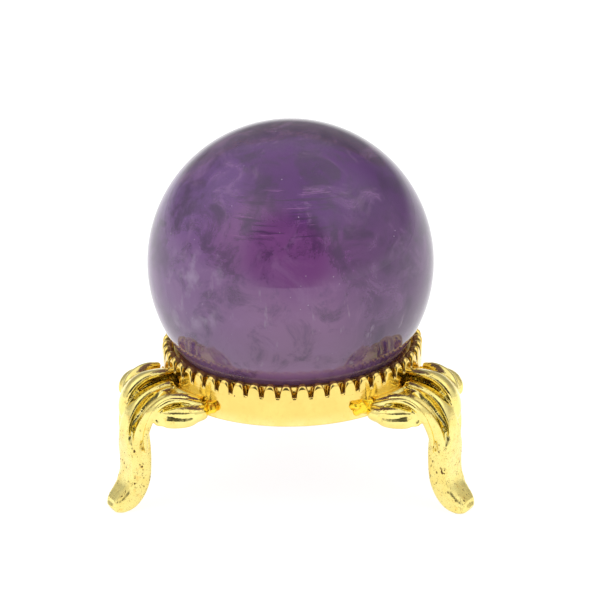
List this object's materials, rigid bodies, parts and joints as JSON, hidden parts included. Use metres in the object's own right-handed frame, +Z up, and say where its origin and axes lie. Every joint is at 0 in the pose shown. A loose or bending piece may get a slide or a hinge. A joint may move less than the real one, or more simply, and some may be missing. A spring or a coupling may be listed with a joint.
{
  "type": "crystal ball on a stand",
  "caption": "Polished amethyst ball resting loose in a gold ring stand with a pearled rim and cast scroll legs.",
  "frame": {"origin": "on the table, under the centre of the whole object's box; the ring's axis is 4.6 mm in front of it at y = -0.0046", "axes": "+Z up; -Y is the front, with one leg left, one right and one at the back; X is the width across the two front legs"},
  "size_m": [0.0514, 0.0491, 0.0516],
  "materials": {
    "amethyst": "polished purple quartz, translucent, dark and smoky above and milky below, with paler veils",
    "gold_plate": "bright gold plating on turned and rolled brass",
    "cast_gold": "bright gold plating over a cast surface with fine pits",
    "solder": "rough fillet of solder, gold plated, darker in its pits"
  },
  "bodies": {
    "stand": {"ring_band": "gold_plate", "beaded_rim": "gold_plate", "seat_ring": "gold_plate", "leg_left": "cast_gold", "leg_right": "cast_gold", "leg_back": "cast_gold", "solder_left_a": "solder", "solder_left_b": "solder", "solder_right_a": "solder", "solder_right_b": "solder", "solder_back_a": "solder", "solder_back_b": "solder"},
    "ball": {"crystal_ball": "amethyst"}
  },
  "joints": [
    {"name": "ball_lift", "type": "slide", "parent": "stand", "child": "ball", "axis": [0, 0, 1], "range_m": [0, 0.03]}
  ]
}
